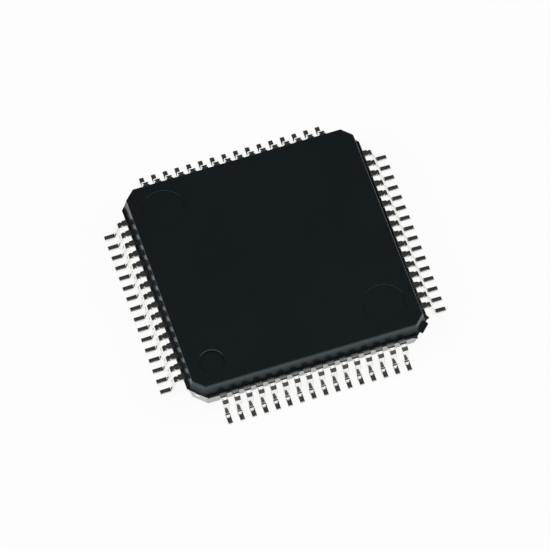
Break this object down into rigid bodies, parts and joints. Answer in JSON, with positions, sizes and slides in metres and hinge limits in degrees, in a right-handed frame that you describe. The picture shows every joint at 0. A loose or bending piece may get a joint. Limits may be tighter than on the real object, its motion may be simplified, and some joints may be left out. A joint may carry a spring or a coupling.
{
  "type": "quad flat pack chip",
  "caption": "Square black moulded chip package with a row of gull-wing leads on each side, cut corners and a pin one dimple.",
  "frame": {"origin": "centre of the lead footprint on the seating plane", "axes": "+Z out of the top face; the pin one corner is at -X -Y, and the pins count counter-clockwise seen from above"},
  "size_m": [0.012, 0.012, 0.0014],
  "materials": {
    "mould_compound": "fine matte, as moulded",
    "tin_plated_lead": "bright tin plating",
    "frame_copper": "rolled copper alloy",
    "silver_epoxy": "silver-filled glue",
    "silicon": "polished",
    "gold_wire": "drawn gold"
  },
  "bodies": {
    "root": {"moulded_body": "mould_compound", "die_pad": "frame_copper", "die_attach": "silver_epoxy", "silicon_die": "silicon", "leads_01_04": "tin_plated_lead", "leads_05_08": "tin_plated_lead", "leads_09_12": "tin_plated_lead", "leads_13_16": "tin_plated_lead", "leads_17_20": "tin_plated_lead", "leads_21_24": "tin_plated_lead", "leads_25_28": "tin_plated_lead", "leads_29_32": "tin_plated_lead", "leads_33_36": "tin_plated_lead", "leads_37_40": "tin_plated_lead", "leads_41_44": "tin_plated_lead", "leads_45_48": "tin_plated_lead", "leads_49_52": "tin_plated_lead", "leads_53_56": "tin_plated_lead", "leads_57_60": "tin_plated_lead", "leads_61_64": "tin_plated_lead", "bond_wires_01_04": "gold_wire", "bond_wires_05_08": "gold_wire", "bond_wires_09_12": "gold_wire", "bond_wires_13_16": "gold_wire", "bond_wires_17_20": "gold_wire", "bond_wires_21_24": "gold_wire", "bond_wires_25_28": "gold_wire", "bond_wires_29_32": "gold_wire", "bond_wires_33_36": "gold_wire", "bond_wires_37_40": "gold_wire", "bond_wires_41_44": "gold_wire", "bond_wires_45_48": "gold_wire", "bond_wires_49_52": "gold_wire", "bond_wires_53_56": "gold_wire", "bond_wires_57_60": "gold_wire", "bond_wires_61_64": "gold_wire"}
  },
  "joints": []
}
